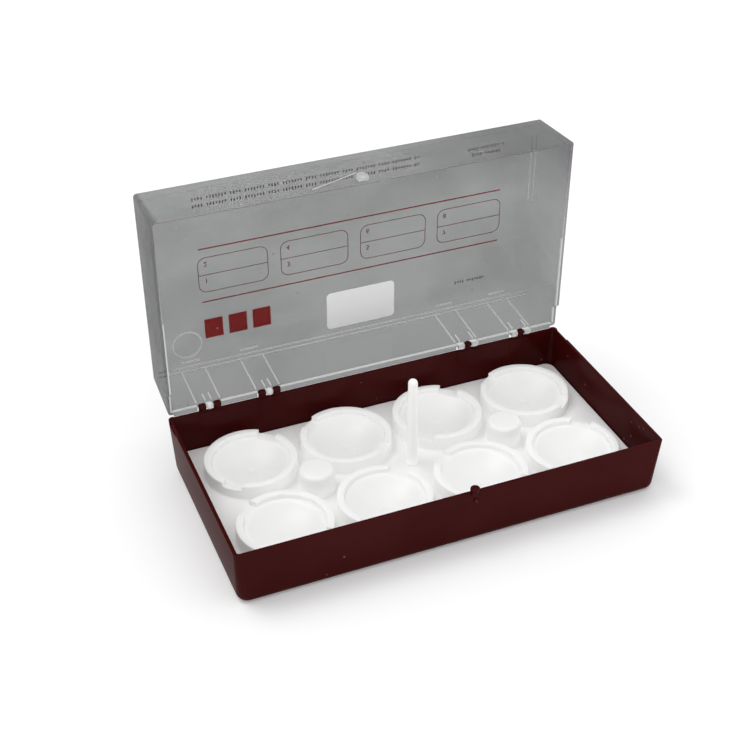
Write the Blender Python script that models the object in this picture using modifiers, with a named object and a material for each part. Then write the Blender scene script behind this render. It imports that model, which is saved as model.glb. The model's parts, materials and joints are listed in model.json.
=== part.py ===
"""Hinged storage box for eight round embedded specimens.

Metres, +Z up.  The origin is the centre of the base's underside, +X runs along the box and the catches are
on the -Y side.  The lid and its label are drawn closed and then swung open about the hinge axis.
"""

import math

import bmesh
import bpy
from mathutils import Matrix, Vector

MM = 0.001
GAP = 0.3 * MM

# Base box
LENGTH = 180 * MM
DEPTH = 92 * MM
BASE_HEIGHT = 25.2 * MM
WALL = 1.5 * MM
FLOOR = 1.8 * MM
DRAFT = 0.6 * MM
CORNER_RADIUS = 2.6 * MM
CORNER_SEGMENTS = 4
FOOT_RADIUS = 2.4 * MM

# Rebate along the top of the back wall and the back ends of the side walls
REBATE_DEPTH = 0.6 * MM
REBATE_HEIGHT = 2.1 * MM
REBATE_FRONT_Y = 34.0 * MM

# Lid, closed
LID_LENGTH = 179.4 * MM
LID_WALL = 1.6 * MM
LID_PANEL = 1.5 * MM
LID_BOTTOM = BASE_HEIGHT + GAP
LID_TOP = BASE_HEIGHT + 27.4 * MM
LID_DRAFT = (0.6 * MM, 1.5 * MM)
LID_CORNER_RADIUS = 1.8 * MM
LID_INNER_CORNER = 0.9 * MM
LID_RELIEF_Z = BASE_HEIGHT + 2.4 * MM
LID_TOP_RADIUS = 0.9 * MM
LID_BEAD_OUT = 0.7 * MM
LID_BEAD_HEIGHT = 1.0 * MM
LID_OPEN_ANGLE = math.radians(89)

# Hinge
HINGE_Y = 45.0 * MM
HINGE_Z = BASE_HEIGHT + 1.9 * MM
STATIONS_BASE_OUTSIDE = (-72 * MM, -46 * MM)
STATIONS_BASE_INSIDE = (46 * MM, 72 * MM)
KNUCKLE_RADIUS = 1.6 * MM
KNUCKLE_WIDTH = 3.2 * MM
KNUCKLE_OFFSET = 3.2 * MM
LUG_WIDTH = 2.6 * MM
PIP_RADIUS = 0.7 * MM
PIP_LENGTH = 9.0 * MM
PIP_HOLE_RADIUS = 0.8 * MM
PIP_HOLE_LENGTH = 9.9 * MM
NECK_THICKNESS = 1.2 * MM
HINGE_SLOT_WIDTH = 10.2 * MM
HINGE_SLOT_TOP = HINGE_Z + KNUCKLE_RADIUS + GAP

# Catches on the front walls
KNOB_X = 5.8 * MM
KNOB_RADII = (1.95 * MM, 1.3 * MM, 1.8 * MM)
KNOB_DROP = 7.0 * MM
LID_NOTCH_WIDTH = 4.7 * MM
LID_NOTCH_TOP = BASE_HEIGHT + 4.3 * MM
TAB_X = -3.2 * MM
TAB_WIDTH = 4.6 * MM
TAB_HEIGHT = 7.4 * MM
TAB_OUT = 1.9 * MM
TAB_DROP = 3.5 * MM
THUMB_DEPTH = 1.0 * MM
THUMB_HEIGHT = 6.7 * MM
BASE_THUMB_X = (8.2 * MM, 27.8 * MM)
LID_THUMB_X = (-5.6 * MM, -25.8 * MM)

# Insert tray
TRAY_BOTTOM = FLOOR + GAP
TRAY_TOP = 7.8 * MM
TRAY_SKIN = 1.4 * MM
TRAY_CORNER = 4.0 * MM
CUP_PITCH_X = 41.8 * MM
CUP_PITCH_Y = 43.1 * MM
CUP_RADIUS = 19.26 * MM
LIP_RADIUS = 16.3 * MM
DISH_RADIUS = 14.8 * MM
LIP_Z = 14.0 * MM
LEDGE_Z = 12.0 * MM
DISH_Z = 7.0 * MM
CUP_STEPS = 36
NOTCH_WIDTH = 8.6 * MM
NOTCH_LENGTH = 41.0 * MM
NOTCH_Z = LEDGE_Z - 0.1 * MM
NOTCH_ANGLE = math.radians(49)
PILLAR_RADIUS = 7.2 * MM
PILLAR_FOOT_RADIUS = 7.6 * MM
PILLAR_TOP = 18.0 * MM
PILLAR_EDGE = 0.6 * MM
SOCKET_RADIUS = 4.0 * MM
SOCKET_BORE = 2.15 * MM

# Lift post
POST_RADII = (1.95 * MM, 2.25 * MM)
POST_TOP = 49.8 * MM
POST_FOOT_RADIUS = 2.6 * MM
POST_FOOT_HEIGHT = 0.8 * MM
PEG_RADIUS = 1.85 * MM

# Label under the lid's panel
LABEL_SIZE = (31.6 * MM, 18.2 * MM)
LABEL_CENTRE = (4.9 * MM, 28.4 * MM)
LABEL_THICKNESS = 0.2 * MM
LABEL_GAP = 0.15 * MM
LABEL_CORNER = 2.0 * MM

REACH = 4 * MM


# ---------------------------------------------------------------- scene and object helpers

def clear_scene():
    """Take away whatever the scene holds."""
    for obj in list(bpy.data.objects):
        bpy.data.objects.remove(obj, do_unlink=True)


def new_collection(name):
    """Collection linked under the scene."""
    collection = bpy.data.collections.new(name)
    bpy.context.scene.collection.children.link(collection)
    return collection


def new_object(name, bm, collection):
    """Object made from a bmesh whose faces are turned outwards."""
    bmesh.ops.recalc_face_normals(bm, faces=bm.faces[:])
    mesh = bpy.data.meshes.new(name)
    bm.to_mesh(mesh)
    bm.free()
    obj = bpy.data.objects.new(name, mesh)
    collection.objects.link(obj)
    return obj


def plastic(name, color, roughness, alpha=1.0):
    """Principled plastic."""
    material = bpy.data.materials.new(name)
    material.use_nodes = True
    shader = material.node_tree.nodes["Principled BSDF"]
    shader.inputs["Base Color"].default_value = (*color, 1.0)
    shader.inputs["Roughness"].default_value = roughness
    shader.inputs["Metallic"].default_value = 0.0
    shader.inputs["Alpha"].default_value = alpha
    return material


def finish_part(obj, material):
    """Give a finished part its material and smooth round faces."""
    obj.data.materials.append(material)
    obj.data.shade_smooth()
    obj.data.set_sharp_from_angle(angle=math.radians(35))


def combine(target, tool, operation):
    """Exact Boolean of one tool on the target."""
    tool.hide_render = True
    tool.display_type = "WIRE"
    modifier = target.modifiers.new(tool.name, "BOOLEAN")
    modifier.operation = operation
    modifier.object = tool
    modifier.solver = "EXACT"


def cut(target, tool):
    """Remove the tool's volume."""
    combine(target, tool, "DIFFERENCE")


def join(target, tool):
    """Add the tool's volume."""
    combine(target, tool, "UNION")


def hang(obj, hinge):
    """Let an object drawn in the closed position turn with the hinge empty."""
    obj.parent = hinge
    obj.matrix_parent_inverse = Matrix.Translation(-hinge.location)


# ---------------------------------------------------------------- shape helpers

def add_box(bm, low, high, turn=Matrix.Identity(4)):
    """Plain box between two corners, turned about its centre."""
    low = Vector(low)
    high = Vector(high)
    size = Matrix.Diagonal((*(high - low), 1.0))
    bmesh.ops.create_cube(bm, size=1.0, matrix=Matrix.Translation((low + high) / 2) @ turn @ size)


def add_upright(bm, centre, radius_low, radius_high, z_low, z_high, segments):
    """Upright cylinder or cone."""
    place = Matrix.Translation((centre[0], centre[1], (z_low + z_high) / 2))
    bmesh.ops.create_cone(bm, cap_ends=True, segments=segments, radius1=radius_low,
                          radius2=radius_high, depth=z_high - z_low, matrix=place)


def add_hinge_rod(bm, x, width, radius, segments):
    """Cylinder on the hinge axis, centred on x."""
    place = Matrix.Translation((x, HINGE_Y, HINGE_Z)) @ Matrix.Rotation(math.pi / 2, 4, "Y")
    bmesh.ops.create_cone(bm, cap_ends=True, segments=segments, radius1=radius,
                          radius2=radius, depth=width, matrix=place)


def add_hull(bm, points):
    """Convex solid through the given corners."""
    verts = [bm.verts.new(point) for point in points]
    bmesh.ops.convex_hull(bm, input=verts)


def block(name, collection, low_half, high_half, z_low, z_high, corner, edge=0.0, edge_z=0.0):
    """Block with rounded upright corners and, at edge_z, a rounded rim."""
    bm = bmesh.new()
    bmesh.ops.create_cube(bm, size=2.0)
    for vert in bm.verts:
        half = high_half if vert.co.z > 0 else low_half
        z = z_high if vert.co.z > 0 else z_low
        vert.co = (vert.co.x * half[0], vert.co.y * half[1], z)
    uprights = [item for item in bm.edges if item.verts[0].co.z != item.verts[1].co.z]
    bmesh.ops.bevel(bm, geom=uprights, offset=corner, segments=CORNER_SEGMENTS,
                    profile=0.5, affect="EDGES")
    if edge > 0:
        rim = [item for item in bm.edges
               if max(abs(vert.co.z - edge_z) for vert in item.verts) < 0.01 * MM]
        bmesh.ops.bevel(bm, geom=rim, offset=edge, segments=CORNER_SEGMENTS - 1,
                        profile=0.5, affect="EDGES")
    return new_object(name, bm, collection)


def turned(name, collection, profile, steps):
    """Solid of revolution about Z from (radius, height) points running top to bottom."""
    mesh = bpy.data.meshes.new(name)
    points = [(radius, 0.0, z) for radius, z in profile]
    mesh.from_pydata(points, [(i, i + 1) for i in range(len(points) - 1)], [])
    obj = bpy.data.objects.new(name, mesh)
    collection.objects.link(obj)
    screw = obj.modifiers.new("Turn", "SCREW")
    screw.axis = "Z"
    screw.steps = steps
    screw.render_steps = steps
    screw.use_merge_vertices = True
    screw.merge_threshold = 0.01 * MM
    screw.use_smooth_shade = True
    return obj


def arc_points(centre_z, radius, start_radius, end_radius, count):
    """Points of a dish arc, centred on the axis at centre_z, between two distances from the axis."""
    start = math.asin(start_radius / radius)
    end = math.asin(end_radius / radius)
    angles = [start + (end - start) * i / (count - 1) for i in range(count)]
    return [(radius * math.sin(angle), centre_z - radius * math.cos(angle)) for angle in angles]


def thumb_wedge(name, collection, x_range, z_rim, z_tip):
    """Wedge that bevels a front rim: deepest at the catch end of the rim, fading along it and away from it."""
    bm = bmesh.new()
    run = x_range[1] - x_range[0]
    rise = z_tip - z_rim
    points = []
    for x in (x_range[0], x_range[1] + run * 0.2):
        for z in (z_tip + rise * 0.3, z_rim - rise * 0.3):
            share = 1 - (z - z_rim) / rise - (x - x_range[0]) / run
            points.append((x, -DEPTH / 2 + THUMB_DEPTH * share, z))
            points.append((x, -DEPTH / 2 - REACH, z))
    add_hull(bm, points)
    return new_object(name, bm, collection)


# ---------------------------------------------------------------- base

def base_shell(parts, tools):
    """Open box with drafted walls and a rounded foot."""
    top = (LENGTH / 2, DEPTH / 2)
    foot = (top[0] - DRAFT, top[1] - DRAFT)
    base = block("base_box", parts, foot, top, 0.0, BASE_HEIGHT, CORNER_RADIUS, FOOT_RADIUS, 0.0)
    slope = DRAFT / BASE_HEIGHT
    low = tuple(half - WALL + slope * FLOOR for half in foot)
    high = tuple(half - WALL + slope * REACH for half in top)
    cavity = block("base_cavity", tools, low, high, FLOOR, BASE_HEIGHT + REACH, CORNER_RADIUS - WALL)
    cut(base, cavity)
    return base


def base_rebate(tools):
    """Step outside the back rim: a slab around the box less the part that stays inside it."""
    bm = bmesh.new()
    z_low = BASE_HEIGHT - REBATE_HEIGHT
    z_high = BASE_HEIGHT + REACH
    x_in = LENGTH / 2 - REBATE_DEPTH
    y_in = DEPTH / 2 - REBATE_DEPTH
    for side in (-1, 1):
        x_edges = sorted((side * x_in, side * (LENGTH / 2 + REACH)))
        add_box(bm, (x_edges[0], REBATE_FRONT_Y, z_low), (x_edges[1], y_in - CORNER_RADIUS, z_high))
    add_box(bm, (-x_in + CORNER_RADIUS, y_in, z_low), (x_in - CORNER_RADIUS, DEPTH / 2 + REACH, z_high))
    return new_object("base_rebate", bm, tools)


def base_knob(tools):
    """Catch knob: a rounded head on a tapered neck in front of the rim."""
    neck = bmesh.new()
    front = -DEPTH / 2
    points = []
    for z, half_width, out, back in ((BASE_HEIGHT - KNOB_DROP, 0.5 * MM, -0.4 * MM, 0.9 * MM),
                                     (BASE_HEIGHT - 3 * MM, 1.4 * MM, 0.9 * MM, 1.1 * MM),
                                     (BASE_HEIGHT + 2 * MM, 1.6 * MM, 0.9 * MM, 0.9 * MM)):
        for side in (-1, 1):
            points.append((KNOB_X + side * half_width, front - out, z))
            points.append((KNOB_X + side * half_width, front + back, z))
    add_hull(neck, points)
    head = bmesh.new()
    place = Matrix.Translation((KNOB_X, front - 0.1 * MM, BASE_HEIGHT + 2.1 * MM))
    bmesh.ops.create_uvsphere(head, u_segments=16, v_segments=10, radius=1.0,
                              matrix=place @ Matrix.Diagonal((*KNOB_RADII, 1.0)))
    return new_object("knob_neck", neck, tools), new_object("knob_head", head, tools)


def add_hinge_neck(bm, x, width, z_far):
    """Web between a knuckle and the wall that carries it."""
    low, high = sorted((HINGE_Z, z_far))
    half = NECK_THICKNESS / 2
    add_box(bm, (x - width / 2, HINGE_Y - half, low), (x + width / 2, HINGE_Y + half, high))


def outer_knuckles(name, tools, stations, z_far):
    """Two drilled knuckles at each station: their rods, their necks and the drills."""
    rods = bmesh.new()
    necks = bmesh.new()
    drills = bmesh.new()
    for station in stations:
        for side in (-1, 1):
            x = station + side * KNUCKLE_OFFSET
            add_hinge_rod(rods, x, KNUCKLE_WIDTH, KNUCKLE_RADIUS, 20)
            add_hinge_neck(necks, x, KNUCKLE_WIDTH - 0.1 * MM, z_far)
        add_hinge_rod(drills, station, PIP_HOLE_LENGTH, PIP_HOLE_RADIUS, 16)
    return (new_object(name + "_rods", rods, tools), new_object(name + "_necks", necks, tools),
            new_object(name + "_drills", drills, tools))


def middle_lugs(name, tools, stations, z_far):
    """One lug at each station, with a pip standing out on both sides: rods, necks and pips."""
    rods = bmesh.new()
    necks = bmesh.new()
    pips = bmesh.new()
    for station in stations:
        add_hinge_rod(rods, station, LUG_WIDTH, KNUCKLE_RADIUS, 20)
        add_hinge_neck(necks, station, LUG_WIDTH - 0.1 * MM, z_far)
        add_hinge_rod(pips, station, PIP_LENGTH, PIP_RADIUS, 16)
    return (new_object(name + "_rods", rods, tools), new_object(name + "_necks", necks, tools),
            new_object(name + "_pips", pips, tools))


def build_base(parts, tools):
    """Base box with its rebate, catch knob, thumb bevel and hinge knuckles."""
    base = base_shell(parts, tools)
    cut(base, base_rebate(tools))
    cut(base, thumb_wedge("base_thumb", tools, BASE_THUMB_X, BASE_HEIGHT, BASE_HEIGHT - THUMB_HEIGHT))
    for piece in base_knob(tools):
        join(base, piece)
    neck_end = BASE_HEIGHT - REBATE_HEIGHT - 1 * MM
    rods, necks, drills = outer_knuckles("base_knuckle", tools, STATIONS_BASE_OUTSIDE, neck_end)
    join(base, necks)
    join(base, rods)
    cut(base, drills)
    rods, necks, pips = middle_lugs("base_lug", tools, STATIONS_BASE_INSIDE, neck_end)
    join(base, necks)
    join(base, rods)
    join(base, pips)
    finish_part(base, plastic("maroon_plastic", (0.045, 0.008, 0.007), 0.25))


# ---------------------------------------------------------------- lid

def lid_shell(parts, tools):
    """Downward-open shell with drafted walls and rounded top edges."""
    rim = (LID_LENGTH / 2, DEPTH / 2)
    top = (rim[0] - LID_DRAFT[0], rim[1] - LID_DRAFT[1])
    lid = block("lid", parts, rim, top, LID_BOTTOM, LID_TOP, LID_CORNER_RADIUS, LID_TOP_RADIUS, LID_TOP)
    slopes = tuple(draft / (LID_TOP - LID_BOTTOM) for draft in LID_DRAFT)
    low = tuple(half - LID_WALL + slope * REACH for half, slope in zip(rim, slopes))
    high = tuple(half - LID_WALL + slope * LID_PANEL for half, slope in zip(top, slopes))
    cavity = block("lid_cavity", tools, low, high, LID_BOTTOM - REACH, LID_TOP - LID_PANEL,
                   LID_INNER_CORNER)
    cut(lid, cavity)
    return lid, [cavity]


def lid_relief(tools):
    """Clearance under the back wall and the back ends of the side walls, with a sloping start."""
    bm = bmesh.new()
    slope_run = LID_RELIEF_Z - LID_BOTTOM
    outline = ((REBATE_FRONT_Y, LID_BOTTOM), (REBATE_FRONT_Y + slope_run, LID_RELIEF_Z),
               (DEPTH / 2 + REACH, LID_RELIEF_Z), (DEPTH / 2 + REACH, LID_BOTTOM - REACH),
               (REBATE_FRONT_Y, LID_BOTTOM - REACH))
    half = LENGTH / 2 + REACH
    add_hull(bm, [(x, y, z) for x in (-half, half) for y, z in outline])
    return new_object("lid_relief", bm, tools)


def lid_slots(tools):
    """Windows in the back wall around each hinge station."""
    bm = bmesh.new()
    for station in STATIONS_BASE_OUTSIDE + STATIONS_BASE_INSIDE:
        add_box(bm, (station - HINGE_SLOT_WIDTH / 2, HINGE_Y - REACH, LID_BOTTOM),
                (station + HINGE_SLOT_WIDTH / 2, DEPTH / 2 + REACH, HINGE_SLOT_TOP))
    return new_object("lid_slots", bm, tools)


def lid_notch(tools):
    """Notch in the front wall that the base's knob stands in."""
    bm = bmesh.new()
    half = LID_NOTCH_WIDTH / 2
    add_box(bm, (KNOB_X - half, -DEPTH / 2 - REACH, LID_BOTTOM - REACH),
            (KNOB_X + half, -DEPTH / 2 + REACH, LID_NOTCH_TOP))
    return new_object("lid_notch", bm, tools)


def lid_bead(tools):
    """Bead along the outside of the back wall's edge, left out at the hinge windows."""
    bm = bmesh.new()
    end = LID_LENGTH / 2 - LID_CORNER_RADIUS
    clear = HINGE_SLOT_WIDTH / 2
    x_low = -end
    for station in STATIONS_BASE_OUTSIDE + STATIONS_BASE_INSIDE + (end + clear,):
        add_box(bm, (x_low, DEPTH / 2 - 0.6 * MM, LID_RELIEF_Z),
                (station - clear, DEPTH / 2 + LID_BEAD_OUT, LID_RELIEF_Z + LID_BEAD_HEIGHT))
        x_low = station + clear
    return new_object("lid_bead", bm, tools)


def lid_tab(tools):
    """Catch tab: a rounded plate that hangs in front of the base, on a pad on the lid's front wall."""
    front = -DEPTH / 2 - GAP
    z_low = BASE_HEIGHT - TAB_DROP
    place = Matrix.Translation((TAB_X, front - TAB_OUT / 2, z_low + TAB_HEIGHT / 2))
    size = Matrix.Diagonal((TAB_WIDTH, TAB_OUT, TAB_HEIGHT, 1.0))
    plate = bmesh.new()
    bmesh.ops.create_cube(plate, size=1.0, matrix=place @ size)
    outer = [item for item in plate.edges if min(vert.co.y for vert in item.verts) < front - TAB_OUT / 2]
    bmesh.ops.bevel(plate, geom=outer, offset=1.1 * MM, segments=3, profile=0.5, affect="EDGES")
    pad = bmesh.new()
    add_box(pad, (TAB_X - 2 * MM, front - 1 * MM, LID_BOTTOM + 0.4 * MM),
            (TAB_X + 2 * MM, -DEPTH / 2 + 1 * MM, BASE_HEIGHT + 4.2 * MM))
    return new_object("tab_plate", plate, tools), new_object("tab_pad", pad, tools)


def build_lid(parts, tools, hinge):
    """Lid with its hinge windows, catch tab, notch and thumb bevel, hung on the hinge."""
    lid, pieces = lid_shell(parts, tools)
    cuts = [lid_relief(tools), lid_slots(tools), lid_notch(tools),
            thumb_wedge("lid_thumb", tools, LID_THUMB_X, LID_BOTTOM, LID_BOTTOM + THUMB_HEIGHT)]
    for piece in cuts:
        cut(lid, piece)
    joins = [lid_bead(tools)] + list(lid_tab(tools))
    neck_end = HINGE_SLOT_TOP + 1 * MM
    lug_rods, lug_necks, lug_pips = middle_lugs("lid_lug", tools, STATIONS_BASE_OUTSIDE, neck_end)
    rods, necks, drills = outer_knuckles("lid_knuckle", tools, STATIONS_BASE_INSIDE, neck_end)
    joins += [lug_necks, lug_rods, lug_pips, necks, rods]
    for piece in joins:
        join(lid, piece)
    cut(lid, drills)
    for piece in [lid, drills] + pieces + cuts + joins:
        hang(piece, hinge)
    finish_part(lid, plastic("clear_plastic", (0.42, 0.42, 0.43), 0.08, 0.35))


def build_label(parts, hinge):
    """Blank sticker under the lid's panel."""
    half = (LABEL_SIZE[0] / 2, LABEL_SIZE[1] / 2)
    z_high = LID_TOP - LID_PANEL - LABEL_GAP
    label = block("label", parts, half, half, z_high - LABEL_THICKNESS, z_high, LABEL_CORNER)
    label.location = (LABEL_CENTRE[0], LABEL_CENTRE[1], 0.0)
    hang(label, hinge)
    finish_part(label, plastic("label_paper", (0.72, 0.72, 0.72), 0.6))


# ---------------------------------------------------------------- insert tray and lift post

def cup_places():
    """Centre and notch angle of each cup: the notches lean left and right in turn."""
    places = []
    for row in (-0.5, 0.5):
        for column in (-1.5, -0.5, 0.5, 1.5):
            leans_left = (column in (-1.5, 0.5)) != (row > 0)
            angle = math.pi - NOTCH_ANGLE if leans_left else NOTCH_ANGLE
            places.append((column * CUP_PITCH_X, row * CUP_PITCH_Y, angle))
    return places


def cup_profile():
    """Dish, ledge, lip, outer wall and the hollow underside, from the top centre round to the bottom centre."""
    depth = LEDGE_Z - DISH_Z
    sphere = (DISH_RADIUS ** 2 + depth ** 2) / (2 * depth)
    centre_z = DISH_Z + sphere
    under = sphere + TRAY_SKIN
    inner = CUP_RADIUS - TRAY_SKIN
    points = arc_points(centre_z, sphere, 0.0, DISH_RADIUS, 5)
    points += [(LIP_RADIUS, LEDGE_Z), (LIP_RADIUS, LIP_Z), (CUP_RADIUS, LIP_Z)]
    points += [(CUP_RADIUS, TRAY_TOP - TRAY_SKIN), (inner, TRAY_TOP - TRAY_SKIN)]
    points += [(inner, LEDGE_Z - TRAY_SKIN)]
    points += arc_points(centre_z, under, DISH_RADIUS * 0.96, 0.0, 4)
    return points


def tray_notches(tools):
    """One bar across each cup cuts its two opposite lip notches."""
    bm = bmesh.new()
    for x, y, angle in cup_places():
        add_box(bm, (x - NOTCH_LENGTH / 2, y - NOTCH_WIDTH / 2, NOTCH_Z),
                (x + NOTCH_LENGTH / 2, y + NOTCH_WIDTH / 2, LIP_Z + 1 * MM),
                Matrix.Rotation(angle, 4, "Z"))
    return new_object("cup_notches", bm, tools)


def tray_deck(parts, tools):
    """Shallow pan turned upside down, with a round opening for each cup."""
    floor_half = (LENGTH / 2 - DRAFT - WALL, DEPTH / 2 - DRAFT - WALL)
    half = tuple(value - GAP for value in floor_half)
    deck = block("insert_tray", parts, half, half, TRAY_BOTTOM, TRAY_TOP, TRAY_CORNER, 0.5 * MM, TRAY_TOP)
    inner = tuple(value - TRAY_SKIN for value in half)
    hollow = block("tray_hollow", tools, inner, inner, TRAY_BOTTOM - 1 * MM, TRAY_TOP - TRAY_SKIN,
                   TRAY_CORNER - TRAY_SKIN)
    cut(deck, hollow)
    bm = bmesh.new()
    for x, y, _angle in cup_places():
        middle = CUP_RADIUS - TRAY_SKIN / 2
        add_upright(bm, (x, y), middle, middle, TRAY_TOP - 2 * TRAY_SKIN, TRAY_TOP + TRAY_SKIN, CUP_STEPS)
    cut(deck, new_object("cup_openings", bm, tools))
    return deck


def tray_pillars(tools):
    """Two short round pillars with softened tops, and the cores that hollow them from below."""
    solid = bmesh.new()
    core = bmesh.new()
    for side in (-1, 1):
        centre = (side * CUP_PITCH_X, 0.0)
        add_upright(solid, centre, PILLAR_FOOT_RADIUS, PILLAR_RADIUS, TRAY_TOP - TRAY_SKIN / 2,
                    PILLAR_TOP, CUP_STEPS)
        add_upright(core, centre, PILLAR_FOOT_RADIUS - TRAY_SKIN, PILLAR_RADIUS - TRAY_SKIN,
                    TRAY_TOP - 2 * TRAY_SKIN, PILLAR_TOP - TRAY_SKIN, 24)
    rims = [item for item in solid.edges
            if min(vert.co.z for vert in item.verts) > PILLAR_TOP - 0.01 * MM]
    bmesh.ops.bevel(solid, geom=rims, offset=PILLAR_EDGE, segments=2, profile=0.5, affect="EDGES")
    return new_object("pillars", solid, tools), new_object("pillar_cores", core, tools)


def tray_socket(tools):
    """Sleeve under the deck for the lift post, and its bore."""
    sleeve = bmesh.new()
    add_upright(sleeve, (0.0, 0.0), SOCKET_RADIUS, SOCKET_RADIUS, TRAY_BOTTOM, TRAY_TOP - TRAY_SKIN / 2, 24)
    bore = bmesh.new()
    add_upright(bore, (0.0, 0.0), SOCKET_BORE, SOCKET_BORE, TRAY_BOTTOM - 1 * MM, TRAY_TOP + 1 * MM, 24)
    return new_object("socket", sleeve, tools), new_object("socket_bore", bore, tools)


def build_tray(parts, tools):
    """Moulded insert with eight cups, two pillars and the socket for the lift post."""
    deck = tray_deck(parts, tools)
    profile = cup_profile()
    for number, (x, y, _angle) in enumerate(cup_places()):
        cup = turned("cup_%d" % (number + 1), tools, profile, CUP_STEPS)
        cup.location = (x, y, 0.0)
        join(deck, cup)
    cut(deck, tray_notches(tools))
    pillars, cores = tray_pillars(tools)
    join(deck, pillars)
    cut(deck, cores)
    sleeve, bore = tray_socket(tools)
    join(deck, sleeve)
    cut(deck, bore)
    finish_part(deck, plastic("white_plastic", (0.80, 0.80, 0.80), 0.35))


def build_post(parts):
    """Tapered round rod with a domed top, a collar that rests on the deck and a peg in the socket."""
    collar = TRAY_TOP + GAP
    top = POST_RADII[0]
    dome = [(top * math.sin(math.radians(a)), POST_TOP - top * (1 - math.cos(math.radians(a))))
            for a in (0, 22.5, 45, 67.5, 90)]
    profile = dome + [
        (POST_RADII[1], collar + POST_FOOT_HEIGHT + 0.3 * MM),
        (POST_FOOT_RADIUS, collar + POST_FOOT_HEIGHT),
        (POST_FOOT_RADIUS, collar),
        (PEG_RADIUS, collar),
        (PEG_RADIUS, TRAY_BOTTOM),
        (0.0, TRAY_BOTTOM),
    ]
    post = turned("lift_post", parts, profile, 24)
    finish_part(post, plastic("post_plastic", (0.80, 0.79, 0.76), 0.3))


def main():
    """Build the whole box."""
    clear_scene()
    parts = new_collection("specimen_storage_box")
    tools = new_collection("cutters")
    hinge = bpy.data.objects.new("lid_hinge_axis", None)
    hinge.location = (0.0, HINGE_Y, HINGE_Z)
    parts.objects.link(hinge)
    build_base(parts, tools)
    build_tray(parts, tools)
    build_post(parts)
    build_lid(parts, tools, hinge)
    build_label(parts, hinge)
    hinge.rotation_euler = (-LID_OPEN_ANGLE, 0.0, 0.0)


main()
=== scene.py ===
"""Looks of the hinged specimen storage box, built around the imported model.

Every piece is drawn in metres in the model's own frame.  The lid's pieces are drawn closed and then swung
open about the hinge, as far as the model's lid joint stands open at rest.
"""

import json
import math

import bmesh
import bpy
from mathutils import Matrix, Vector


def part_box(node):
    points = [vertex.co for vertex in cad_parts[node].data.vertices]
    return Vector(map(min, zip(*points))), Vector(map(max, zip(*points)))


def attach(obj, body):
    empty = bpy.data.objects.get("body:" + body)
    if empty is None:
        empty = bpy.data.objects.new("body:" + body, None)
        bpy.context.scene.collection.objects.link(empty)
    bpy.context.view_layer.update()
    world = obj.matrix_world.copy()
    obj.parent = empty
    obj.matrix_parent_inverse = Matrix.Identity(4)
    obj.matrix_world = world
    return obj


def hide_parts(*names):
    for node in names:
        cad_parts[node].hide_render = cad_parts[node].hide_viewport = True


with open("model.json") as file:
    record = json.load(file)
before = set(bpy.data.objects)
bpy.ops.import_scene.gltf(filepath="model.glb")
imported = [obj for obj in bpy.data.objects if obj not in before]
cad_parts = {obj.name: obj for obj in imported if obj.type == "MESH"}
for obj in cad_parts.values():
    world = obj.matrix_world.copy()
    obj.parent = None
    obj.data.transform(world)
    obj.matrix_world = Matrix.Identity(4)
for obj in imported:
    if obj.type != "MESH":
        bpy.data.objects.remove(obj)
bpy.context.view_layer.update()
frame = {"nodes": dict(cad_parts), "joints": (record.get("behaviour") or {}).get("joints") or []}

MM = 0.001

# -------------------- sizes taken from the frame

BASE_LOW, BASE_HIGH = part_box("base_box")
TRAY_LOW, TRAY_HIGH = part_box("insert_tray")
POST_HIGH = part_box("lift_post")[1]
LID_JOINT = next(joint for joint in frame["joints"] if joint["name"] == "lid_hinge")
HINGE = Vector(LID_JOINT["pos_m"])
LID_OPEN_ANGLE = -math.radians(LID_JOINT["range_deg"][0])
OPEN_LID = Matrix.Translation(HINGE) @ Matrix.Rotation(-LID_OPEN_ANGLE, 4, "X") @ Matrix.Translation(-HINGE)
CLOSE_LID = OPEN_LID.inverted()


def closed_box(node):
    """Corners of a lid node when the lid is shut."""
    points = [CLOSE_LID @ vert.co for vert in frame["nodes"][node].data.vertices]
    low = Vector([min(point[axis] for point in points) for axis in range(3)])
    high = Vector([max(point[axis] for point in points) for axis in range(3)])
    return low, high


LID_BOX_LOW, LID_BOX_HIGH = closed_box("lid")
LABEL_LOW, LABEL_HIGH = closed_box("label")

LENGTH = BASE_HIGH.x - BASE_LOW.x
DEPTH = 2 * (HINGE.y + 1.0 * MM)
BASE_HEIGHT = HINGE.z - 1.9 * MM
WALL = 1.5 * MM
FLOOR = 1.8 * MM
DRAFT = 0.6 * MM
GAP = 0.3 * MM
CORNER_RADIUS = 1.9 * MM
FOOT_RADIUS = 3.4 * MM
FOOT_CORNER = 4.6 * MM
FLOOR_CORNER = 3.0 * MM
RIM_ROUND = 0.25 * MM
LID_RIM_INNER_ROUND = 0.5 * MM
REBATE_DEPTH = 0.6 * MM
REBATE_HEIGHT = 2.1 * MM
REBATE_FRONT_Y = 34.0 * MM

LID_LENGTH = LID_BOX_HIGH.x - LID_BOX_LOW.x
LID_WALL = 1.6 * MM
LID_PANEL = 1.5 * MM
LID_BOTTOM = BASE_HEIGHT + GAP
LID_TOP = LID_BOX_HIGH.z
LID_RELIEF_Z = BASE_HEIGHT + 2.4 * MM
LID_DRAFT = (0.6 * MM, 1.5 * MM)
LID_CORNER_RADIUS = 1.6 * MM
LID_INNER_CORNER = 0.9 * MM
LID_TOP_RADIUS = 0.8 * MM
LID_BEAD_OUT = 1.0 * MM
LID_BEAD_HEIGHT = 1.0 * MM
LID_INNER_RADIUS = 0.5 * MM
END_WALL_X = (-88.0 * MM, -86.2 * MM)

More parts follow.
